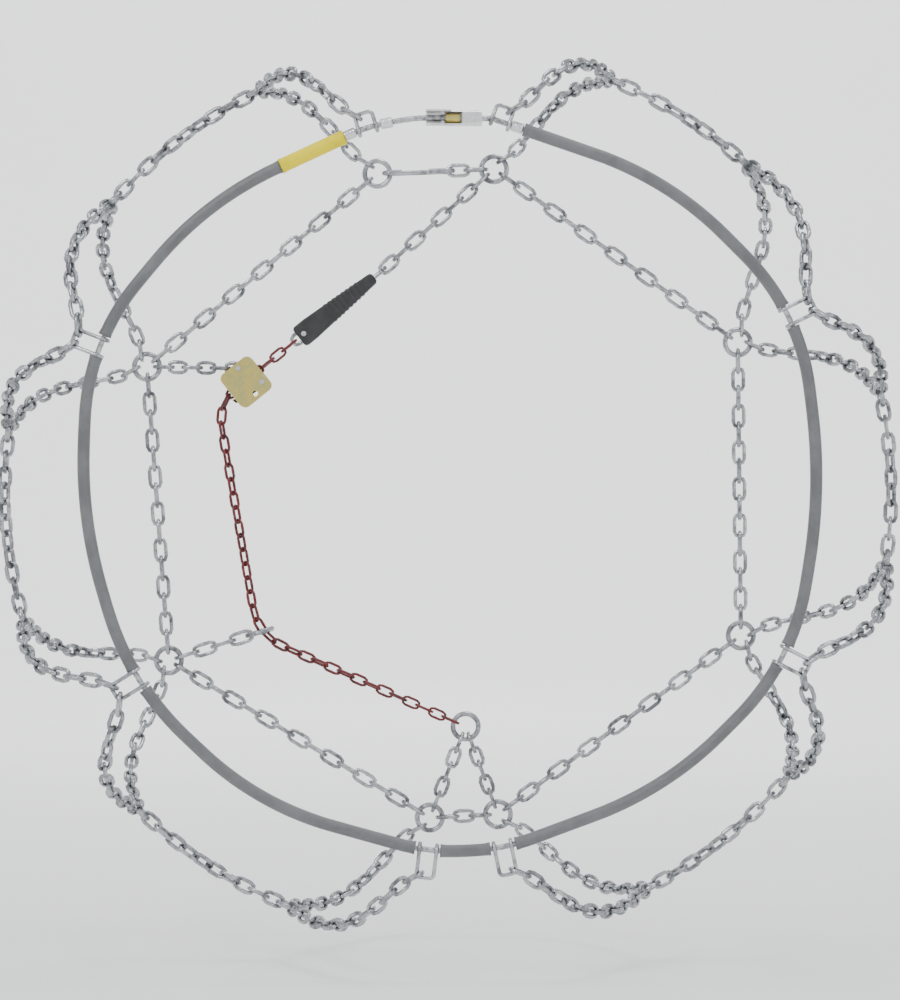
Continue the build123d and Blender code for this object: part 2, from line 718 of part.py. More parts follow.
with BuildPart() as lock_body:
    for low in (-lock_space / 2 - lock_plate, lock_space / 2):
        with BuildSketch(lock_plane(low)):
            with Locations(((lock_right - lock_left) / 2, (lock_out - lock_in) / 2)):
                RectangleRounded(lock_left + lock_right, lock_in + lock_out, lock_round)
            with Locations(hang_pin, pawl_pin):
                Circle(lock_pin_wide / 2 + fit_gap, mode=Mode.SUBTRACT)
            with Locations(lock_hole_at):
                Circle(lock_hole / 2, mode=Mode.SUBTRACT)
        extrude(amount=lock_plate)
    with BuildSketch(lock_plane(-lock_space / 2 - lock_plate / 2)):
        with Locations(*lock_posts):
            RectangleRounded(2.4, 5.0, 0.8)
    extrude(amount=lock_space + lock_plate)
save(lock_body.part, "lock_body")

with BuildPart() as lock_pins:
    with BuildSketch(lock_plane(-lock_space / 2 - lock_plate - pin_head)):
        with Locations(hang_pin, pawl_pin):
            Circle(lock_pin_wide / 2)
    extrude(amount=lock_space + 2 * lock_plate + 2 * pin_head)
save(lock_pins.part, "lock_pins")

with BuildPart() as pawl:
    with BuildSketch(lock_plane(-pawl_thick / 2)):
        with Locations(pawl_pin):
            Circle(pawl_wide)
        with BuildLine():
            Polyline((pawl_pin[0], pawl_pin[1] + 2.6), (-11.0, -6.4), (-15.5, -5.2),
                     (-14.6, -9.0), (-9.0, -10.6), (pawl_pin[0], pawl_pin[1] - 3.6), close=True)
        make_face()
        with Locations(pawl_pin):
            Circle(lock_pin_wide / 2 + move_gap, mode=Mode.SUBTRACT)
    extrude(amount=pawl_thick)
save(pawl.part, "lock_pawl")

# Handle: tapered moulding, forked at its wide end.
handle_base = Plane(origin=handle_foot, x_dir=pull, z_dir=lock_base.z_dir)
with BuildPart() as handle:
    with BuildSketch(handle_base.offset(-handle_thick / 2)):
        with BuildLine():
            Polyline((0, -handle_wide / 2), (handle_straight, -handle_wide / 2),
                     (handle_long, -handle_tip / 2), (handle_long, handle_tip / 2),
                     (handle_straight, handle_wide / 2), (0, handle_wide / 2), close=True)
        make_face()
    extrude(amount=handle_thick)
    fillet(handle.edges().filter_by(Axis.Y), handle_round)
    fillet(handle.edges().group_by(Axis.Y)[0] + handle.edges().group_by(Axis.Y)[-1], handle_edge)
    with BuildSketch(handle_base.offset(-handle_slot / 2)):
        with Locations((handle_pin_at, 0)):
            Rectangle(handle_straight + handle_pin_at, handle_wide + 2)
    extrude(amount=handle_slot, mode=Mode.SUBTRACT)
    with BuildSketch(handle_base.offset(-handle_thick)):
        with Locations((handle_pin_at, 0)):
            Circle(link_pin_wide / 2 + fit_gap)
    extrude(amount=2 * handle_thick, mode=Mode.SUBTRACT)
    with BuildSketch(Plane(origin=handle_foot + pull * (handle_long + 1), z_dir=pull * -1)):
        Circle(handle_hook_wire / 2 + fit_gap)
    extrude(amount=hook_bore + 1, mode=Mode.SUBTRACT)
save(handle.part, "handle")

with BuildPart() as pin:
    with BuildSketch(handle_base.offset(-handle_thick / 2 - pin_head)):
        with Locations((handle_pin_at, 0)):
            Circle(link_pin_wide / 2)
    extrude(amount=handle_thick + 2 * pin_head)
save(pin.part, "handle_pin")

tip = handle_foot + pull * handle_long
bend_start = tip + pull * hook_neck
finger = bend_start + pull * handle_hook_bend
with BuildPart() as handle_hook:
    with BuildLine() as finger_route:
        Line(tip - pull * (hook_bore - 1), bend_start)
        ThreePointArc(bend_start,
                      bend_start + pull * handle_hook_bend * sin(pi / 4)
                      - lie * handle_hook_bend * (1 - cos(pi / 4)),
                      finger - lie * handle_hook_bend)
        Line(finger - lie * handle_hook_bend, finger - lie * (handle_hook_bend + finger_long))
    with BuildSketch(Plane(origin=tip - pull * (hook_bore - 1), z_dir=pull)):
        Circle(handle_hook_wire / 2)
    sweep(path=finger_route.wires()[0])
save(handle_hook.part, "handle_hook")

# Droppers: short lengths of chain from the corner rings in to the tension line.
hang_point = lock_centre + pull * hang_pin[0] + across * hang_pin[1]
finger_point = finger - lie * (handle_hook_bend + link_wire / 2)
eye_point = top_point(eye_at, 0.0)
droppers = []
for start, end, last, roll_to in (
        (hubs[5], anchor, side_reach, 90.0), (hubs[6], anchor, side_reach, 90.0),
        (hubs[4], guide_hub, side_reach, 0.0),
        (hubs[3], hang_point, hang(0.0, lock_pin_wide), 0.0),
        (hubs[2], finger_point, hang(0.0, handle_hook_wire), 0.0),
        (hubs[2], eye_point, hang(hook_bend, hook_wire), 0.0)):
    begin = on_bend(start, end, lie, side_ring_radius)
    droppers += chain(line_path(begin, end, lie), side_pitch_max, link_wire, link_width,
                      wire_reach, last, roll_to=roll_to, parity=True)
save(Compound(droppers), "dropper_chains")
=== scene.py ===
import json
import math

import bpy
import numpy as np
from mathutils import Euler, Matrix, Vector


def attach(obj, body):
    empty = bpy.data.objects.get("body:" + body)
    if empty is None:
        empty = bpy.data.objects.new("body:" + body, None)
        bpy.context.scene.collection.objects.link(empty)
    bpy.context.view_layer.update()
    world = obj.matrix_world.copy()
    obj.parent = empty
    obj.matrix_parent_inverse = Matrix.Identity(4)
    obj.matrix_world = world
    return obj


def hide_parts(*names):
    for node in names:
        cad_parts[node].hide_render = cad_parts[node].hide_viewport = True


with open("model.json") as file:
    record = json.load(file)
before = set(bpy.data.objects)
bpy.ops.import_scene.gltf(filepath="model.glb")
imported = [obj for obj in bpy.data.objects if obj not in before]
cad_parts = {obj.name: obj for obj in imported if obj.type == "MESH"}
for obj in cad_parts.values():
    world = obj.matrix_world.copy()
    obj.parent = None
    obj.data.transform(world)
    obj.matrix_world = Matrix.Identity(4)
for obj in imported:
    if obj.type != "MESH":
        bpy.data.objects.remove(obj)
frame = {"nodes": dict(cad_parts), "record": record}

bl_info = {
    "name": "Snow Chain Looks",
    "version": (1, 0, 0),
    "blender": (4, 5, 0),
    "location": "View3D > Sidebar > Snow Chain",
    "description": "Chain links, rope, sleeves, lock and handle of a fitted snow chain",
    "category": "Object",
}

NODES = frame["nodes"]
BODY_OF = {n: b for b, ns in frame["record"]["behaviour"]["bodies"].items() for n in ns}
MM = 0.001

# Wire and bore sizes, as in the CAD.
LINK_WIRE = 3.2 * MM
RED_WIRE = 2.3 * MM
RING_WIRE = 4.0 * MM
ROPE_WIRE = 4.2 * MM
FERRULE_WIDE, FERRULE_BORE = 7.6 * MM, 4.4 * MM
SLEEVE_BORE = 4.7 * MM
LOOP_HUB = (2.0 * MM, 6.0 * MM)         # x and z of the rope loop's middle
BARREL_ANGLE = -5.0                     # degrees clockwise from the top, where the loop opens

# The camera looks along +Y at the middle of the chain.
EYE_AWAY = 2.518
LENS, SENSOR = 121.0, 36.0              # millimetres
SHIFT = 0.002, -0.008

# The studio: a round floor with its wall, beyond every camera.
FLOOR_Z = -0.352
BOWL_WIDE, BOWL_BEND, BOWL_TALL = 5.4, 1.5, 3.2

# Area lights: name, place, size, watts, point aimed at.
LIGHTS = (
    ("key_light", (-1.4, -2.2, 1.9), 0.9, 27.0, (0.0, 0.0, 0.0)),
    ("fill_light", (1.9, -2.3, 0.5), 1.4, 10.0, (0.0, 0.0, 0.0)),
    ("top_light", (0.3, -0.2, 1.9), 0.8, 12.0, (0.0, 0.0, 0.0)),
    ("backdrop_light", (0.0, 2.2, 2.7), 1.8, 120.0, (0.0, 5.4, 0.0)))


# ---------------------------------------------------------------- user-changeable values
def colour(name, text, value):
    """Colour property with its picker."""
    return bpy.props.FloatVectorProperty(name=name, description=text, default=value,
                                         subtype="COLOR", size=3, min=0.0, max=1.0)


def length(name, text, value):
    """Length property in scene units."""
    return bpy.props.FloatProperty(name=name, description=text, default=value,
                                   unit="LENGTH", subtype="DISTANCE", min=0.0)


class ChainLooks(bpy.types.PropertyGroup):
    zinc: colour("Zinc", "Colour of the plated links", (0.46, 0.47, 0.49))
    zinc_dull: colour("Dull zinc", "Colour where the plating has gone dull", (0.13, 0.135, 0.145))
    rope: colour("Rope", "Colour of the bare wire rope", (0.52, 0.53, 0.54))
    gold: colour("Yellow zinc", "Colour of the passivated parts", (0.60, 0.49, 0.14))
    gold_dull: colour("Dull yellow zinc", "Colour of their greenish cast", (0.44, 0.42, 0.17))
    grey: colour("Grey tube", "Colour of the long cable sleeves", (0.105, 0.108, 0.112))
    yellow: colour("Yellow tube", "Colour of the marker sleeve", (0.80, 0.66, 0.0))
    red: colour("Red paint", "Colour of the tension chain", (0.15, 0.003, 0.005))
    black: colour("Black moulding", "Colour of the handle", (0.014, 0.014, 0.015))
    floor: colour("Backdrop", "Colour of floor and backdrop", (0.93, 0.93, 0.93))
    squareness: bpy.props.FloatProperty(
        name="Wire squareness", description="2 is round wire, more is squarer", default=3.0,
        min=2.0, max=8.0)
    weld: bpy.props.FloatProperty(
        name="Weld swelling", description="How much the butt weld swells the wire", default=0.14,
        min=0.0, max=0.4)
    rope_strands: bpy.props.IntProperty(
        name="Rope strands", description="Strands seen round the rope", default=6, min=3, max=12)
    rope_lay: length("Rope lay", "Length of one turn of a strand", 0.024)
    sleeve_wide: length("Sleeve width", "Outer width of the grey sleeves", 0.009)
    marker_wide: length("Marker width", "Outer width of the yellow sleeve", 0.0104)


# ---------------------------------------------------------------- numpy geometry
def grid_faces(rows, columns, wrap_rows, wrap_columns):
    """Quads of a rows x columns grid of points; a wrapped direction closes on itself."""
    r = np.arange(rows if wrap_rows else rows - 1)
    c = np.arange(columns if wrap_columns else columns - 1)
    r, c = (a.ravel() for a in np.meshgrid(r, c, indexing="ij"))
    r1, c1 = (r + 1) % rows, (c + 1) % columns
    return np.stack([r * columns + c, r * columns + c1, r1 * columns + c1, r1 * columns + c], 1)


def signed_volume(points, faces):
    """Volume inside quads by the divergence sum; negative means the faces point inward."""
    a, b, c, d = (points[faces[:, k]] for k in range(4))
    cone = np.einsum("ij,ij->i", a, np.cross(b, c)) + np.einsum("ij,ij->i", a, np.cross(c, d))
    return cone.sum() / 6


def new_object(name, points, faces, along, around, material, tone=None):
    """Mesh object from arrays, with a UV map (along, around) in metres and a tone per point."""
    if signed_volume(points, faces) < 0:
        faces = faces[:, ::-1]
    mesh = bpy.data.meshes.new(name)
    mesh.vertices.add(len(points))
    mesh.vertices.foreach_set("co", points.astype(np.float32).ravel())
    mesh.loops.add(faces.size)
    mesh.loops.foreach_set("vertex_index", faces.astype(np.int32).ravel())
    mesh.polygons.add(len(faces))
    mesh.polygons.foreach_set("loop_start", np.arange(0, faces.size, 4, dtype=np.int32))
    mesh.polygons.foreach_set("use_smooth", np.ones(len(faces), bool))
    uv = mesh.uv_layers.new(name="Lay")
    corner = faces.ravel()
    uv.data.foreach_set("uv", np.stack([along[corner], around[corner]], 1).astype(
        np.float32).ravel())
    shade = mesh.attributes.new("tone", "FLOAT", "POINT")
    shade.data.foreach_set("value", np.asarray(
        np.zeros(len(points)) if tone is None else tone, np.float32))
    mesh.update(calc_edges=True)
    mesh.validate()
    obj = bpy.data.objects.new(name, mesh)
    bpy.context.scene.collection.objects.link(obj)
    obj.data.materials.append(material)
    return obj


def adopt(obj, node):
    """Stands the new piece in for a CAD node: puts it on that node's body and hides the node."""
    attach(obj, BODY_OF[node])
    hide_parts(node)
    return obj


def node_points(node):
    """Every mesh point of a CAD node, in metres."""
    mesh = NODES[node].data
    co = np.empty(len(mesh.vertices) * 3, np.float32)
    mesh.vertices.foreach_get("co", co)
    return co.reshape(-1, 3).astype(float)


def islands(node):
    """Points of each separate solid of a node, found by joining points at one place and along
    edges until the labels stop changing."""
    mesh, points = NODES[node].data, node_points(node)
    _, first = np.unique(np.round(points / 2e-6).astype(np.int64), axis=0, return_inverse=True)
    first = first.ravel()
    edges = np.empty(len(mesh.edges) * 2, np.int32)
    mesh.edges.foreach_get("vertices", edges)
    a, b = first[edges.reshape(-1, 2)].T
    label = np.arange(first.max() + 1)
    while True:
        low = np.minimum(label[a], label[b])
        new = label.copy()
        np.minimum.at(new, a, low)
        np.minimum.at(new, b, low)
        new = new[new]
        if (new == label).all():
            break
        label = new
    label = label[first]
    return [points[label == k] for k in np.unique(label)]


def own_frame(points):
    """Centre, half extents and axes (longest, middle, shortest) of a symmetric piece."""
    centre = (points.max(0) + points.min(0)) / 2
    _, axes = np.linalg.eigh(np.cov((points - points.mean(0)).T))
    axes = axes[:, ::-1].T
    axes[2] = np.cross(axes[0], axes[1])
    reach = (points - centre) @ axes.T
    centre = centre + ((reach.max(0) + reach.min(0)) / 2) @ axes
    return centre, (reach.max(0) - reach.min(0)) / 2, axes


def section(count, wire, squareness):
    """Closed wire section: x = r|cos|^(2/n) sign cos, y = r|sin|^(2/n) sign sin."""
    t = np.arange(count) / count * 2 * math.pi + math.pi / count
    c, s, n = np.cos(t), np.sin(t), 2 / squareness
    x, y = np.sign(c) * abs(c) ** n, np.sign(s) * abs(s) ** n
    size = np.maximum(np.hypot(x, y), 1e-9)
    keep = 1 + 0.35 * (size - 1)
    return x / size * keep * wire, y / size * keep * wire


def repeated_faces(faces, parts):
    """The faces of one piece numbered for each part in turn, wound so that they face outward."""
    return np.concatenate([
        (faces if signed_volume(part, faces) >= 0 else faces[:, ::-1]) + k * len(part)
        for k, part in enumerate(parts)])


def chain_object(name, node, material, wire, looks, seed):
    """All oval links of a node. One link is a wire section carried round a stadium: two half
    circles of the bend radius joined by straights, its butt weld a small swelling halfway along
    one straight, wire radius r (1 + w) there. Links take their place from the CAD solids."""
    # Heading of the wire's outer side and which half of the stadium each station is on: a bend,
    # the middle of one straight, the other bend, and three stations for the weld.
    turn = np.radians([90, 45, 0, -45, -90, -90, -90, -135, -180, -225, -270, -270, -270, -270])
    side = np.array([1, 1, 1, 1, 1, 0, -1, -1, -1, -1, -1, -0.16, 0, 0.16])
    swell = np.ones(len(turn))
    swell[len(turn) - 2] += looks.weld
    sx, sy = section(8, 1.0, looks.squareness)
    parts, alongs, arounds, tones = [], [], [], []
    rng = np.random.default_rng(seed)
    for points in islands(node):
        centre, half, axes = own_frame(points)
        bend = half[1] - wire
        straight = half[0] - wire - bend
        r = wire * swell[:, None] * np.ones(8)
        out = bend + sx * r
        x = side[:, None] * straight + out * np.cos(turn)[:, None]
        y = out * np.sin(turn)[:, None]
        z = sy * r
        local = np.stack([x, y, z], -1).reshape(-1, 3)
        parts.append(centre + local @ axes)
        loop = np.cumsum(np.full(len(turn), 3.0 * MM))
        alongs.append(np.repeat(loop, 8) + rng.uniform(0, 1))
        arounds.append(np.tile(np.arange(8) * 1.3 * MM, len(turn)))
        tones.append(np.full(len(local), rng.uniform(0, 1)))
    faces = repeated_faces(grid_faces(len(turn), 8, True, True), parts)
    return adopt(new_object(name, np.concatenate(parts), faces, np.concatenate(alongs),
                            np.concatenate(arounds), material, np.concatenate(tones)), node)


def ring_object(name, node, material, wire, seed):
    """Welded rings: a circle of wire radius carried round a circle, with a weld swelling."""
    rows, columns = 28, 10
    v = np.arange(rows) / rows * 2 * math.pi
    u = np.arange(columns) / columns * 2 * math.pi
    swell = 1 + 0.12 * np.exp(-((v - math.pi) / 0.14) ** 2)
    parts, tones = [], []
    rng = np.random.default_rng(seed)
    for points in islands(node):
        centre, half, axes = own_frame(points)
        middle = (half[0] + half[1]) / 2 - wire
        r = wire * swell[:, None]
        spin = v[:, None] + rng.uniform(0, 6.28)
        x = (middle + r * np.cos(u)) * np.cos(spin)
        y = (middle + r * np.cos(u)) * np.sin(spin)
        z = r * np.sin(u) * np.ones_like(x)
        parts.append(centre + np.stack([x, y, z], -1).reshape(-1, 3) @ axes)
        tones.append(np.full(rows * columns, rng.uniform(0, 1)))
    faces = repeated_faces(grid_faces(rows, columns, True, True), parts)
    along = np.tile(np.repeat(v * 0.008, columns), len(parts))
    around = np.tile(np.tile(u * wire, rows), len(parts))
    return adopt(new_object(name, np.concatenate(parts), faces, along, around, material,
                            np.concatenate(tones)), node)


# ---------------------------------------------------------------- the rope's line
def centre_line(node):
    """Centre line of a bent rod of the CAD: its points fall in rings across the rod; the middle
    of each ring, in order of angle about the loop, with a smooth curve through them."""
    points = node_points(node)
    angle = np.degrees(np.arctan2(points[:, 0] - LOOP_HUB[0], points[:, 2] - LOOP_HUB[1]))
    gap_at = BARREL_ANGLE if node == "inner_cable" else -180.0
    angle = (angle - gap_at) % 360
    order = np.argsort(angle)
    ring_gap, ring_least = 0.35, 6      # degrees between rings, points in one
    split = np.nonzero(np.diff(angle[order]) > ring_gap)[0] + 1
    groups = [g for g in np.split(order, split) if len(g) >= ring_least]
    return np.array([(points[g].max(0) + points[g].min(0)) / 2 for g in groups])


def resample(line, step):
    """Points every step along a Catmull-Rom curve through the line's points."""
    p = np.vstack([2 * line[0] - line[1], line, 2 * line[-1] - line[-2]])
    fine = []
    for a, b, c, d in zip(p, p[1:], p[2:], p[3:]):
        t = np.linspace(0, 1, 24, endpoint=False)[:, None]
        fine.append(0.5 * (2 * b + (c - a) * t + (2 * a - 5 * b + 4 * c - d) * t ** 2
                           + (3 * b - a - 3 * c + d) * t ** 3))
    fine = np.vstack(fine + [line[-1:]])
    run = np.concatenate([[0], np.cumsum(np.linalg.norm(np.diff(fine, axis=0), axis=1))])
    marks = np.linspace(0, run[-1], max(3, int(run[-1] / step) + 1))
    return np.stack([np.interp(marks, run, fine[:, k]) for k in range(3)], 1), marks


def tube(name, line, marks, radius, columns, material, tone=0.5, inner=None):
    """Skin round a line: point = centre + r(s, t) (cos t e1 + sin t e2), with e1, e2 square to the
    line and radius a function of distance and angle. Ends are closed to the inner radius."""
    tangent = np.gradient(line, axis=0)
    tangent /= np.linalg.norm(tangent, axis=1)[:, None]
    e1 = np.tile([0.0, 1.0, 0.0], (len(line), 1))
    e2 = np.cross(tangent, e1)
    t = np.arange(columns) / columns * 2 * math.pi
    r = radius(marks[:, None], t[None, :])
    ring = (line[:, None] + r[..., None] * (np.cos(t)[None, :, None] * e1[:, None]
                                            + np.sin(t)[None, :, None] * e2[:, None]))
    close = inner if inner else 0.0
    scale = np.minimum(1.0, close / np.maximum(r, 1e-6))[..., None]
    caps = line[:, None] + (ring - line[:, None]) * scale
    body = np.concatenate([caps[:1], ring, caps[-1:]])
    rows = len(body)
    if inner:
        inside = caps[::-1][1:-1]
        body = np.concatenate([body, inside])
        faces = grid_faces(len(body), columns, True, True)
        along = np.concatenate([marks[:1], marks, marks[-1:], marks[::-1][1:-1]])
    else:
        faces = grid_faces(rows, columns, False, True)
        along = np.concatenate([marks[:1], marks, marks[-1:]])
    points = body.reshape(-1, 3)
    return new_object(name, points, faces, np.repeat(along, columns),
                      np.tile(t * 0.004, len(body)), material, np.full(len(points), tone))


def stretch(line, points):
    """First and last place on a line that a solid of the CAD covers, by nearest points."""
    near = np.argmin(((points[:, None] - line[None]) ** 2).sum(-1), axis=1)
    return near.min(), near.max() + 1


# ---------------------------------------------------------------- materials
def node_group(name, inputs, outputs):
    """Empty shader node group with its sockets, and its input and output nodes."""
    group = bpy.data.node_groups.new(name, "ShaderNodeTree")
    for label, kind, value in inputs:
        socket = group.interface.new_socket(label, in_out="INPUT", socket_type=kind)
        if value is not None:
            socket.default_value = value
    for label, kind in outputs:
        group.interface.new_socket(label, in_out="OUTPUT", socket_type=kind)
    return group, group.nodes.new("NodeGroupInput"), group.nodes.new("NodeGroupOutput")


def patches_group():
    """Soft-edged patches from two sizes of noise in Object coordinates: a mask from 0 to 1."""
    name = "Patches"
    if name in bpy.data.node_groups:
        return bpy.data.node_groups[name]
    group, gin, gout = node_group(name, [
        ("Scale", "NodeSocketFloat", 60.0), ("From", "NodeSocketFloat", 0.4),
        ("To", "NodeSocketFloat", 0.65)], [("Mask", "NodeSocketFloat")])
    at = group.nodes.new("ShaderNodeTexCoord")
    noise = group.nodes.new("ShaderNodeTexNoise")
    noise.inputs["Detail"].default_value = 6.0
    noise.inputs["Roughness"].default_value = 0.62
    ramp = group.nodes.new("ShaderNodeMapRange")
    ramp.interpolation_type = "SMOOTHSTEP"
    link = group.links.new
    link(at.outputs["Object"], noise.inputs["Vector"])
    link(gin.outputs["Scale"], noise.inputs["Scale"])
    link(noise.outputs["Fac"], ramp.inputs["Value"])
    link(gin.outputs["From"], ramp.inputs["From Min"])
    link(gin.outputs["To"], ramp.inputs["From Max"])
    link(ramp.outputs["Result"], gout.inputs["Mask"])
    return group


def grain_group():
    """Fine surface grain: noise in Object coordinates turned into a bumped normal."""
    name = "Grain"
    if name in bpy.data.node_groups:
        return bpy.data.node_groups[name]
    group, gin, gout = node_group(name, [
        ("Scale", "NodeSocketFloat", 900.0), ("Strength", "NodeSocketFloat", 0.2),
        ("Depth", "NodeSocketFloat", 0.0003)], [("Normal", "NodeSocketVector")])
    at = group.nodes.new("ShaderNodeTexCoord")
    noise = group.nodes.new("ShaderNodeTexNoise")
    noise.inputs["Detail"].default_value = 4.0
    bump = group.nodes.new("ShaderNodeBump")
    link = group.links.new
    link(at.outputs["Object"], noise.inputs["Vector"])
    link(gin.outputs["Scale"], noise.inputs["Scale"])
    link(noise.outputs["Fac"], bump.inputs["Height"])
    link(gin.outputs["Strength"], bump.inputs["Strength"])
    link(gin.outputs["Depth"], bump.inputs["Distance"])
    link(bump.outputs["Normal"], gout.inputs["Normal"])
    return group


def surface(name, first, second, metallic, smooth, rough, patch_scale=90.0, patch=(0.42, 0.62),
            grain=(900.0, 0.25, 0.0002), tone=0.0, coat=0.0, gloss=0.5):
    """A finish between two colours and two roughnesses, mixed by patches, with fine grain.

    Patch is where the patches start and are full; grain is its scale, strength and depth; tone is
    how much a piece's own tone adds to the mix."""
    if name in bpy.data.materials:
        return bpy.data.materials[name]
    material = bpy.data.materials.new(name)
    material.use_nodes = True
    tree = material.node_tree
    shader = tree.nodes["Principled BSDF"]
    shader.inputs["Metallic"].default_value = metallic
    shader.inputs["Coat Weight"].default_value = coat
    shader.inputs["Specular IOR Level"].default_value = gloss
    shader.inputs["Coat Roughness"].default_value = 0.2
    material.diffuse_color = (*first, 1.0)
    patches = tree.nodes.new("ShaderNodeGroup")
    patches.node_tree = patches_group()
    patches.inputs["Scale"].default_value = patch_scale
    patches.inputs["From"].default_value, patches.inputs["To"].default_value = patch
    grains = tree.nodes.new("ShaderNodeGroup")
    grains.node_tree = grain_group()
    for key, value in zip(("Scale", "Strength", "Depth"), grain):
        grains.inputs[key].default_value = value
    mix = tree.nodes.new("ShaderNodeMix")
    mix.data_type = "RGBA"
    mix.inputs["A"].default_value = (*first, 1.0)
    mix.inputs["B"].default_value = (*second, 1.0)
    ramp = tree.nodes.new("ShaderNodeMapRange")
    ramp.inputs["To Min"].default_value = smooth
    ramp.inputs["To Max"].default_value = rough
    link = tree.links.new
    mask = patches.outputs["Mask"]
    if tone:
        shade = tree.nodes.new("ShaderNodeAttribute")
        shade.attribute_name = "tone"
        add = tree.nodes.new("ShaderNodeMath")
        add.operation = "MULTIPLY_ADD"
        add.use_clamp = True
        add.inputs[1].default_value = tone
        link(shade.outputs["Fac"], add.inputs[0])
        link(mask, add.inputs[2])
        mask = add.outputs[0]
    link(mask, mix.inputs["Factor"])
    link(mask, ramp.inputs["Value"])
    link(mix.outputs["Result"], shader.inputs["Base Color"])
    link(ramp.outputs["Result"], shader.inputs["Roughness"])
    link(grains.outputs["Normal"], shader.inputs["Normal"])
    return material


def zinc(looks):
    """Bright plating with dull patches, each link a little different."""
    return surface("Zinc plating", looks.zinc, looks.zinc_dull, 1.0, 0.17, 0.42, 130.0,
                   (0.38, 0.74), (700.0, 0.22, 0.00025), tone=0.28)


def bare_rope(looks):
    """Drawn steel strands, dull in patches."""
    return surface("Wire rope", looks.rope, looks.zinc_dull, 1.0, 0.3, 0.5, 260.0, (0.35, 0.75),
                   (2600.0, 0.3, 0.0002))


def yellow_zinc(looks):
    """Yellow passivated zinc with a greenish cast."""
    return surface("Yellow passivation", looks.gold, looks.gold_dull, 0.9, 0.3, 0.45, 150.0,
                   (0.38, 0.66), (800.0, 0.2, 0.0002))


def black_moulding(looks):
    """Black moulded rubber with a fine grain."""
    return surface("Black moulding", looks.black, tuple(c * 1.7 for c in looks.black), 0.0, 0.42,
                   0.62, 80.0, (0.4, 0.7), (1500.0, 0.5, 0.0003))


def wear_nodes(nodes, material):
    """Gives CAD nodes that stay in sight their finish."""
    for node in nodes:
        obj = NODES[node]
        if not obj.material_slots:
            obj.data.materials.append(material)
        for held in obj.material_slots:
            held.material = material


# ---------------------------------------------------------------- operators
class Piece(bpy.types.Operator):
    """Builds one piece or group of like pieces from the sizes and colours in the sidebar"""
    bl_options = {"REGISTER"}

    def execute(self, context):
        self.build(context.scene.snow_chain)
        return {"FINISHED"}


class SNOW_OT_tread(Piece):
    """Diagonal strands and circumferential segments of the tread net"""
    bl_idname = "snow.tread"
    bl_label = "Tread chains"

    def build(self, looks):
        nodes = sorted(n for n in NODES if n.startswith(("strand_", "segment_")))
        for k, node in enumerate(nodes):
            chain_object(f"{node}_links", node, zinc(looks), LINK_WIRE / 2, looks, 10 + k)


class SNOW_OT_side(Piece):
    """Silver side chain and the droppers that hold the tension chain"""
    bl_idname = "snow.side"
    bl_label = "Side chain and droppers"

    def build(self, looks):
        for k, node in enumerate(("side_chain", "dropper_chains", "handle_link")):
            chain_object(f"{node}_links", node, zinc(looks), LINK_WIRE / 2, looks, 70 + k)


class SNOW_OT_tension(Piece):
    """Red painted tension chain"""
    bl_idname = "snow.tension"
    bl_label = "Tension chain"

    def build(self, looks):
        paint = surface("Red paint", looks.red, (0.06, 0.004, 0.005), 0.0, 0.34, 0.6, 170.0,
                        (0.4, 0.7), (1100.0, 0.35, 0.0003), tone=0.3, coat=0.12)
        chain_object("tension_links", "tension_chain", paint, RED_WIRE / 2, looks, 90)


class SNOW_OT_rings(Piece):
    """Welded junction rings"""
    bl_idname = "snow.rings"
    bl_label = "Rings"

    def build(self, looks):
        for k, node in enumerate(("tread_rings", "corner_rings", "guide_rings")):
            ring_object(f"{node}_welded", node, zinc(looks), RING_WIRE / 2, 40 + k)


class SNOW_OT_rope(Piece):
    """Wire rope of the closing loop and its free end, laid up from strands"""
    bl_idname = "snow.rope"
    bl_label = "Wire rope"

    def build(self, looks):
        def laid(s, t):
            turn = looks.rope_strands * (t - 2 * math.pi * s / looks.rope_lay) / 2
            return ROPE_WIRE / 2 * (0.79 + 0.21 * abs(np.cos(turn)) ** 0.8)
        for node in ("inner_cable", "cable_end"):
            line, marks = resample(centre_line(node), 0.9 * MM)
            adopt(tube(f"{node}_laid", line, marks, laid, looks.rope_strands * 5,
                       bare_rope(looks)), node)


class SNOW_OT_sleeves(Piece):
    """Grey tube sleeves with flared ends and the yellow marker sleeve"""
    bl_idname = "snow.sleeves"
    bl_label = "Sleeves"

    def build(self, looks):
        line, marks = resample(centre_line("inner_cable"), 2.0 * MM)
        grey = surface("Grey tube", looks.grey, tuple(c * 1.35 for c in looks.grey), 0.0, 0.38,
                       0.55, 45.0, (0.35, 0.7), (500.0, 0.18, 0.0004))
        bright = surface("Yellow tube", looks.yellow, tuple(c * 0.86 for c in looks.yellow), 0.0,
                         0.36, 0.5, 60.0, (0.4, 0.7), (600.0, 0.15, 0.0003), gloss=0.2)
        pieces = [("cable_sleeves", i, p, looks.sleeve_wide / 2, grey)
                  for i, p in enumerate(islands("cable_sleeves"))]
        pieces += [("yellow_sleeve", 0, node_points("yellow_sleeve"), looks.marker_wide / 2,
                    bright)]
        for node, i, points, wide, finish in pieces:
            a, b = stretch(line, points)
            run = marks[a:b] - marks[a]
            end = run[-1]

            def flared(s, t, wide=wide, end=end):
                lip = np.exp(-(np.minimum(s, end - s) / (2.2 * MM)) ** 2)
                return wide * (1 + 0.09 * lip + 0.006 * np.sin(s * 90) * np.ones_like(t))
            adopt(tube(f"{node}_{i}", line[a:b], run, flared, 28, finish,
                       inner=SLEEVE_BORE / 2), node)


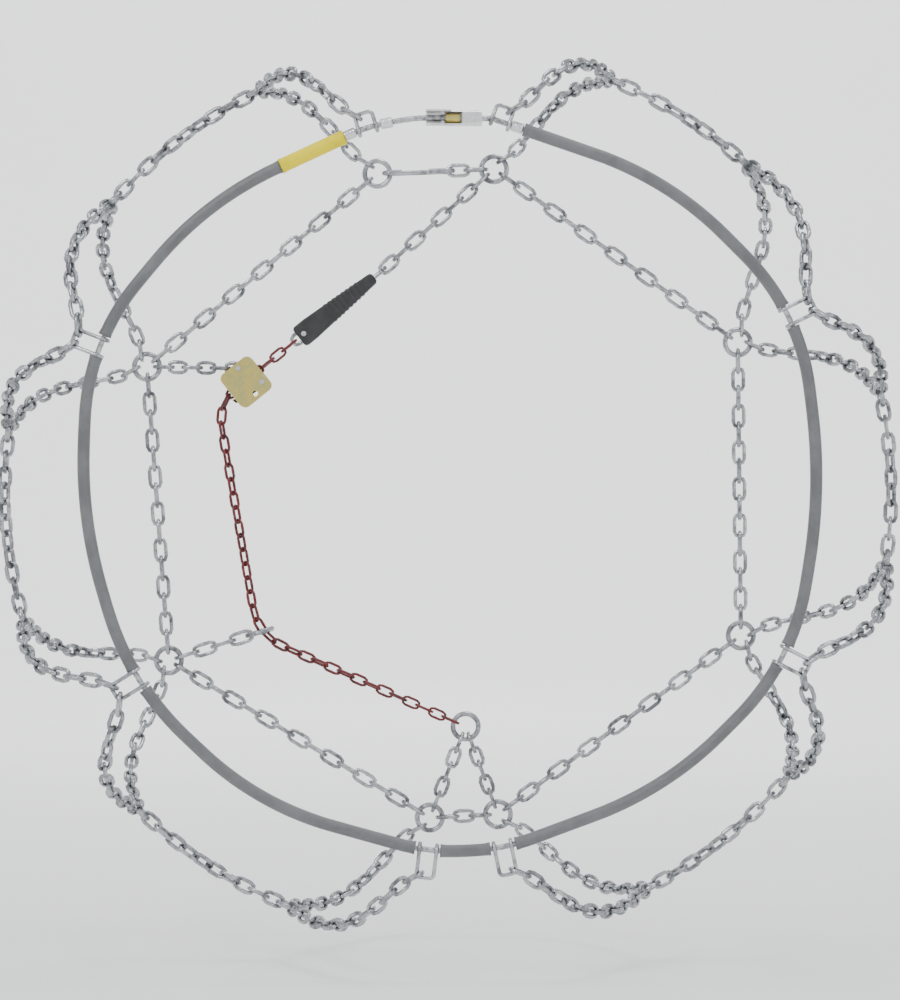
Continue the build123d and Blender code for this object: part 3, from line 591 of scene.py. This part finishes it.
class SNOW_OT_ferrules(Piece):
    """Crimped ferrules"""
    bl_idname = "snow.ferrules"
    bl_label = "Ferrules"

    def build(self, looks):
        bright = surface("Ferrule", (0.72, 0.73, 0.74), (0.5, 0.51, 0.52), 1.0, 0.22, 0.38, 300.0,
                         (0.4, 0.7), (900.0, 0.2, 0.0002))
        for i, points in enumerate(islands("ferrules")):
            centre, _, axes = own_frame(points)
            axis = axes[np.argmax(abs(axes @ np.array([1.0, 0, 0])))]
            long = np.ptp((points - centre) @ axis)
            line = centre + np.linspace(-long / 2, long / 2, 44)[:, None] * axis
            marks = np.linspace(0, long, 44)

            def crimped(s, t, long=long):
                grooves = sum(np.exp(-((s - long * share) / (0.55 * MM)) ** 2)
                              for share in (0.25, 0.5, 0.75))
                end = np.exp(-(np.minimum(s, long - s) / (0.35 * MM)) ** 2)
                six = 0.5 + 0.5 * np.cos(6 * t)
                return FERRULE_WIDE / 2 * (1 - 0.13 * grooves * six - 0.10 * end)
            adopt(tube(f"ferrule_{i}", line, marks, crimped, 36, bright,
                       inner=FERRULE_BORE / 2),
                  "ferrules")


class SNOW_OT_fittings(Piece):
    """Shackles, closing hook, barrel, stop, lock, pins and handle keep their CAD shape"""
    bl_idname = "snow.fittings"
    bl_label = "Fittings"

    def build(self, looks):
        shackles = [n for n in NODES if n.startswith("shackle_")]
        wear_nodes(shackles + ["closing_hook", "handle_hook"], zinc(looks))
        wear_nodes(["coupling_barrel"], surface(
            "Folded sheet", (0.80, 0.80, 0.80), (0.55, 0.55, 0.56), 0.85, 0.28, 0.42, 160.0,
            (0.4, 0.75), (900.0, 0.18, 0.0002)))
        wear_nodes(["cable_stop"], yellow_zinc(looks))
        wear_nodes(["lock_body"], yellow_zinc(looks))
        wear_nodes(["lock_pawl"], surface("Black steel", (0.05, 0.05, 0.05), (0.02, 0.02, 0.02),
                                          0.8, 0.35, 0.5))
        wear_nodes(["lock_pins", "handle_pin"], surface(
            "Pin steel", (0.6, 0.6, 0.6), (0.4, 0.4, 0.4), 1.0, 0.25, 0.4))
        wear_nodes(["handle"], black_moulding(looks))


class SNOW_OT_grip(Piece):
    """Ribbed skin of the moulded handle over its tapered part"""
    bl_idname = "snow.grip"
    bl_label = "Handle grip"

    def build(self, looks):
        """Skin = superellipse section, half sizes shrinking evenly from the wide end to the tip,
        plus ribs r = depth * (1 - cos(2 pi s / pitch)) / 2 over the middle."""
        points = node_points("handle")
        centre, half, axes = own_frame(points)
        reach = (points - centre) @ axes.T
        far, near = reach[:, 0] > half[0] * 0.9, reach[:, 0] < -half[0] * 0.6
        if np.ptp(reach[far, 1]) > np.ptp(reach[near, 1]):
            axes = axes * np.array([-1.0, -1.0, 1.0])[:, None]
        long = 2 * half[0]
        s = np.linspace(20 * MM, long - 3 * MM, 130)[:, None]
        t = np.arange(40) / 40 * 2 * math.pi
        inside = np.clip((s - 28 * MM) / (4 * MM), 0, 1) * np.clip((long - 10 * MM - s) / (4 * MM),
                                                                   0, 1)
        rib = 0.55 * MM * inside * (0.5 - 0.5 * np.cos(2 * math.pi * s / (4.2 * MM)))
        wide = half[1] + (4.5 * MM - half[1]) * (s - 12 * MM) / (long - 12 * MM)
        over = 0.12 * MM
        sx, sy = np.cos(t), np.sin(t)
        square = 2 / 4.5
        y = (wide + over + rib) * np.sign(sx) * abs(sx) ** square
        z = (half[2] + over + rib) * np.sign(sy) * abs(sy) ** square
        x = s - half[0] + np.zeros_like(y)
        skin = np.stack([x, y, z], -1)
        ends = skin * np.array([1.0, 0.0, 0.0])
        body = np.concatenate([ends[:1], skin, ends[-1:]])
        faces = grid_faces(len(body), 40, False, True)
        run = np.concatenate([s[:1], s, s[-1:]]).ravel()
        grip = new_object("handle_grip", centre + body.reshape(-1, 3) @ axes, faces,
                          np.repeat(run, 40), np.tile(t * 0.01, len(body)),
                          black_moulding(looks))
        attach(grip, BODY_OF["handle"])


def studio_bowl(paper):
    """Floor with a wall all round it: a profile turned about the vertical. The profile runs out
    flat, rises through a quarter circle, and goes on straight up, so no edge shows from any side.
    Point = (r(s) cos t, r(s) sin t, z(s))."""
    quarter = np.linspace(0, math.pi / 2, 13)
    flat = BOWL_WIDE - BOWL_BEND
    r = np.concatenate([[0.0001, 1.0, 2.0, 3.2], flat + BOWL_BEND * np.sin(quarter), [BOWL_WIDE] * 3])
    z = np.concatenate([np.zeros(4), BOWL_BEND * (1 - np.cos(quarter)), [1.8, 2.6, BOWL_TALL]])
    t = np.arange(64) / 64 * 2 * math.pi
    points = np.stack([r[:, None] * np.cos(t), r[:, None] * np.sin(t),
                       FLOOR_Z + z[:, None] * np.ones(len(t))], -1).reshape(-1, 3)
    faces = grid_faces(len(r), len(t), False, True)
    return new_object("backdrop", points, faces, points[:, 0], points[:, 1], paper)


class SNOW_OT_stage(Piece):
    """Pale floor and backdrop, soft lights and the camera"""
    bl_idname = "snow.stage"
    bl_label = "Stage"

    def build(self, looks):
        paper = surface("Backdrop paper", looks.floor, tuple(c * 0.985 for c in looks.floor), 0.0,
                        0.8, 0.9, 2.0, (0.3, 0.7), (300.0, 0.05, 0.0005))
        stage = [studio_bowl(paper)]
        for name, place, size, power, aimed in LIGHTS:
            lamp = bpy.data.lights.new(name, "AREA")
            lamp.shape = "DISK"
            lamp.size = size
            lamp.energy = power
            obj = bpy.data.objects.new(name, lamp)
            obj.location = place
            aim = Vector(aimed) - Vector(place)
            obj.rotation_euler = aim.to_track_quat("-Z", "Y").to_euler()
            bpy.context.scene.collection.objects.link(obj)
            stage.append(obj)
        world = bpy.data.worlds.new("Studio")
        world.use_nodes = True
        tree = world.node_tree
        way, part = tree.nodes.new("ShaderNodeTexCoord"), tree.nodes.new("ShaderNodeSeparateXYZ")
        sky = tree.nodes.new("ShaderNodeValToRGB")
        sky.color_ramp.elements[0].position, sky.color_ramp.elements[1].position = 0.35, 0.8
        sky.color_ramp.elements[0].color = (0.04, 0.042, 0.045, 1.0)
        sky.color_ramp.elements[1].color = (0.95, 0.97, 1.0, 1.0)
        lift = tree.nodes.new("ShaderNodeMath")
        lift.operation = "MULTIPLY_ADD"
        lift.inputs[1].default_value = lift.inputs[2].default_value = 0.5
        tree.links.new(way.outputs["Generated"], part.inputs["Vector"])
        tree.links.new(part.outputs["Z"], lift.inputs[0])
        tree.links.new(lift.outputs[0], sky.inputs["Fac"])
        tree.links.new(sky.outputs["Color"], tree.nodes["Background"].inputs["Color"])
        tree.nodes["Background"].inputs["Strength"].default_value = 1.2
        bpy.context.scene.world = world
        lens = bpy.data.cameras.new("camera")
        lens.sensor_fit = "VERTICAL"
        lens.sensor_height = SENSOR
        lens.lens = LENS
        lens.shift_x, lens.shift_y = SHIFT
        eye = bpy.data.objects.new("camera", lens)
        eye.location = (0.0, -EYE_AWAY, 0.0)
        eye.rotation_euler = Euler((math.pi / 2, 0, 0))
        bpy.context.scene.collection.objects.link(eye)
        bpy.context.scene.camera = eye
        stage.append(eye)


class SNOW_PT_panel(bpy.types.Panel):
    """Snow chain sizes, colours and pieces"""
    bl_idname = "SNOW_PT_panel"
    bl_label = "Snow Chain"
    bl_space_type = "VIEW_3D"
    bl_region_type = "UI"
    bl_category = "Snow Chain"

    def draw(self, context):
        looks = context.scene.snow_chain
        for name in ChainLooks.__annotations__:
            self.layout.prop(looks, name)
        for operator in OPERATORS:
            self.layout.operator(operator.bl_idname)


OPERATORS = (SNOW_OT_tread, SNOW_OT_side, SNOW_OT_tension, SNOW_OT_rings, SNOW_OT_rope,
             SNOW_OT_sleeves, SNOW_OT_ferrules, SNOW_OT_fittings, SNOW_OT_grip, SNOW_OT_stage)
CLASSES = (ChainLooks, *OPERATORS, SNOW_PT_panel)


def register():
    for cls in CLASSES:
        bpy.utils.register_class(cls)
    bpy.types.Scene.snow_chain = bpy.props.PointerProperty(type=ChainLooks)


def unregister():
    del bpy.types.Scene.snow_chain
    for cls in reversed(CLASSES):
        bpy.utils.unregister_class(cls)


def main():
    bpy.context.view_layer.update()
    register()
    bpy.ops.snow.tread()
    bpy.ops.snow.side()
    bpy.ops.snow.tension()
    bpy.ops.snow.rings()
    bpy.ops.snow.rope()
    bpy.ops.snow.sleeves()
    bpy.ops.snow.ferrules()
    bpy.ops.snow.fittings()
    bpy.ops.snow.grip()
    bpy.ops.snow.stage()


if __name__ == "__main__":
    main()
